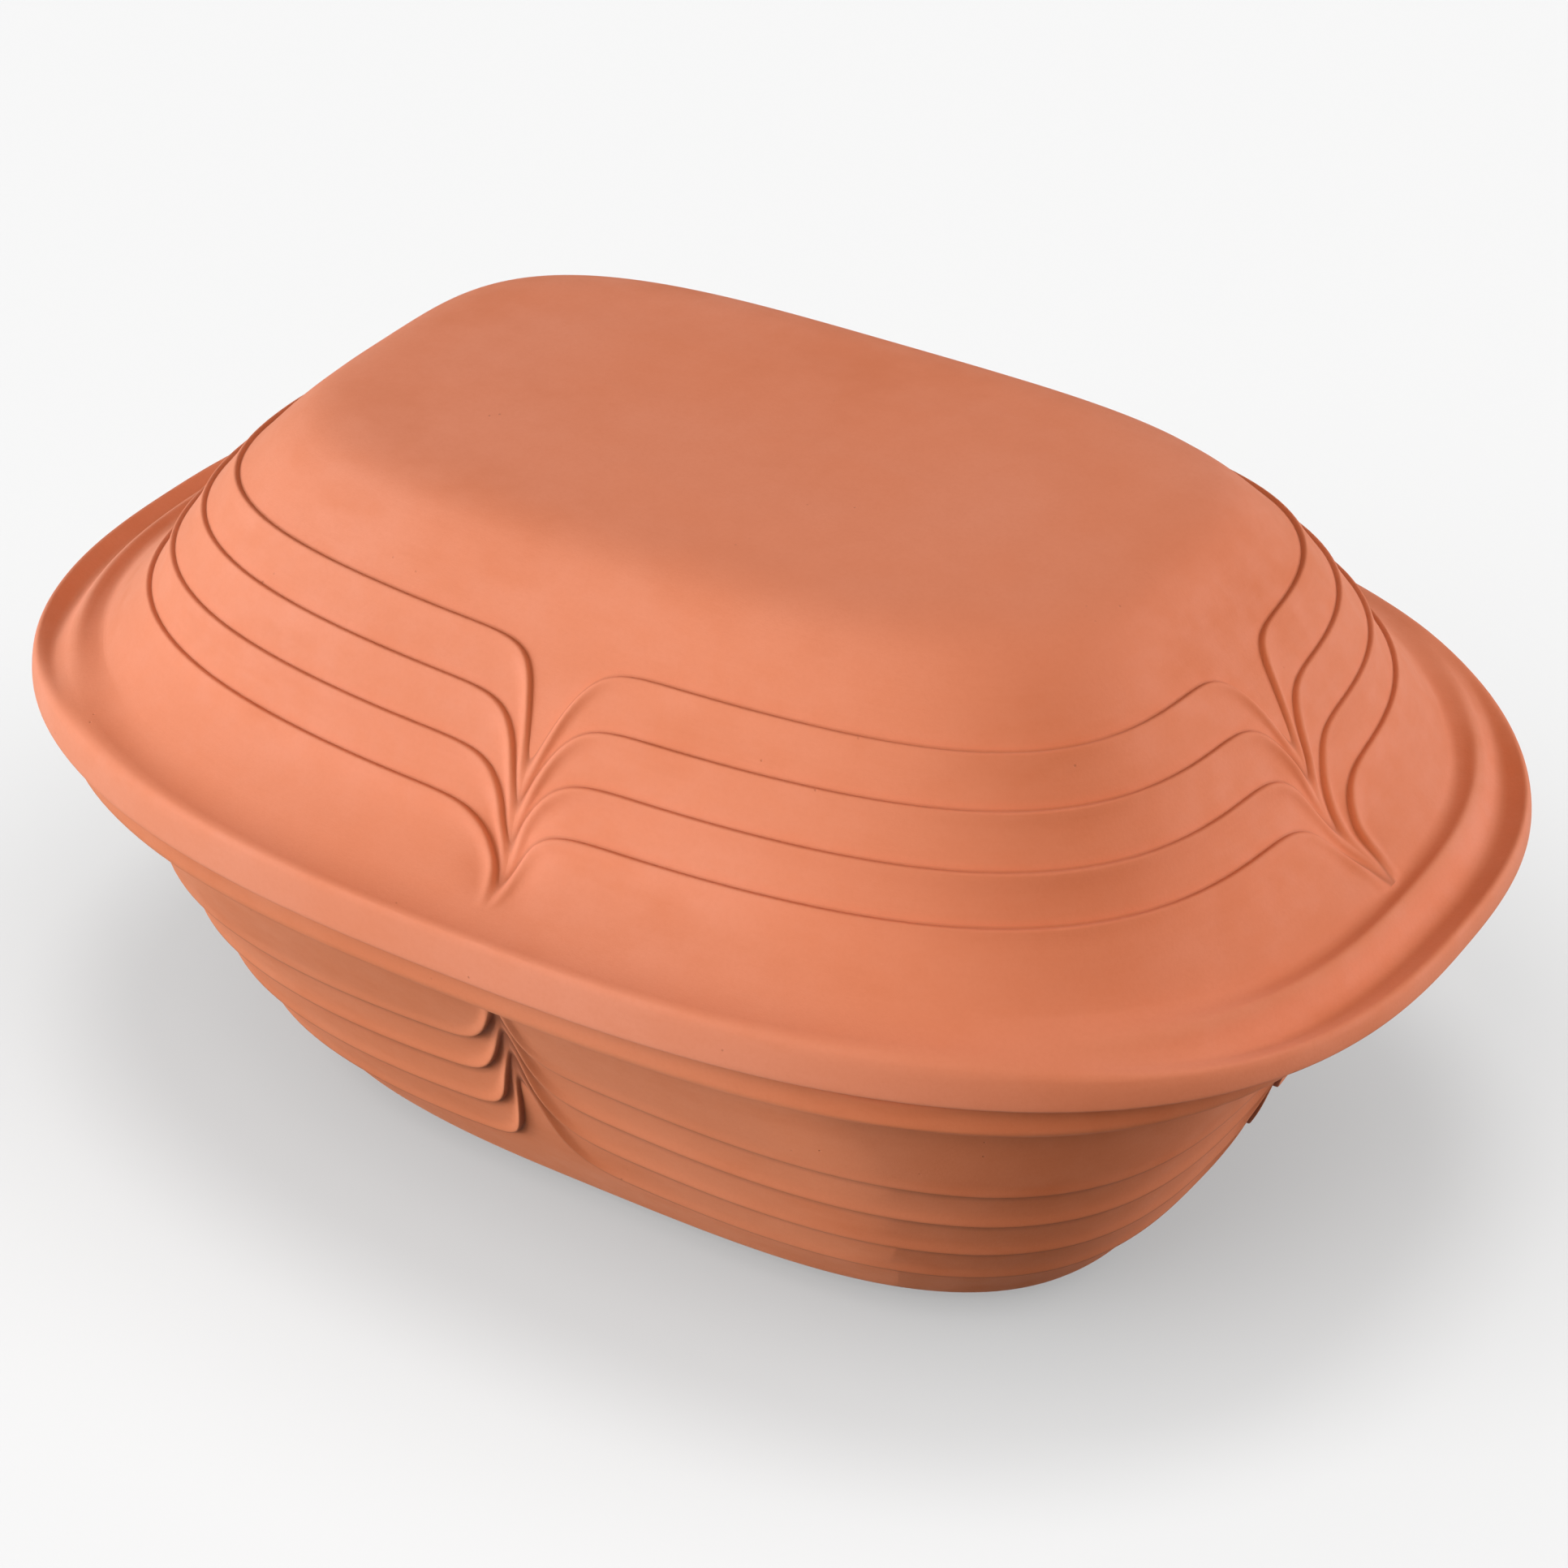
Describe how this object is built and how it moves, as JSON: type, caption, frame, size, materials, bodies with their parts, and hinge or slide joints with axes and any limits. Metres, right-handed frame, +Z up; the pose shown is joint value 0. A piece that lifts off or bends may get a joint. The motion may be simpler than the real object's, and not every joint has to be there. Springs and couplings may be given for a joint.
{
  "type": "clay roaster",
  "caption": "Oval terracotta roaster: a deep base and a domed lift-off lid, both with stepped draped relief and a flared rim, the lid resting on the base's rim.",
  "frame": {"origin": "centre of the flat foot of the base, on the table", "axes": "+X along the long axis of the oval, +Y across it, +Z up through the crown of the lid"},
  "size_m": [0.3474, 0.2442, 0.1715],
  "materials": {
    "fired_clay_base": "matte unglazed",
    "fired_clay_lid": "matte unglazed"
  },
  "bodies": {
    "base": {"base": "fired_clay_base"},
    "lid": {"lid": "fired_clay_lid"}
  },
  "joints": [
    {"name": "lid_lift", "type": "slide", "parent": "base", "child": "lid", "axis": [0, 0, 1], "range_m": [0, 0.15]}
  ]
}
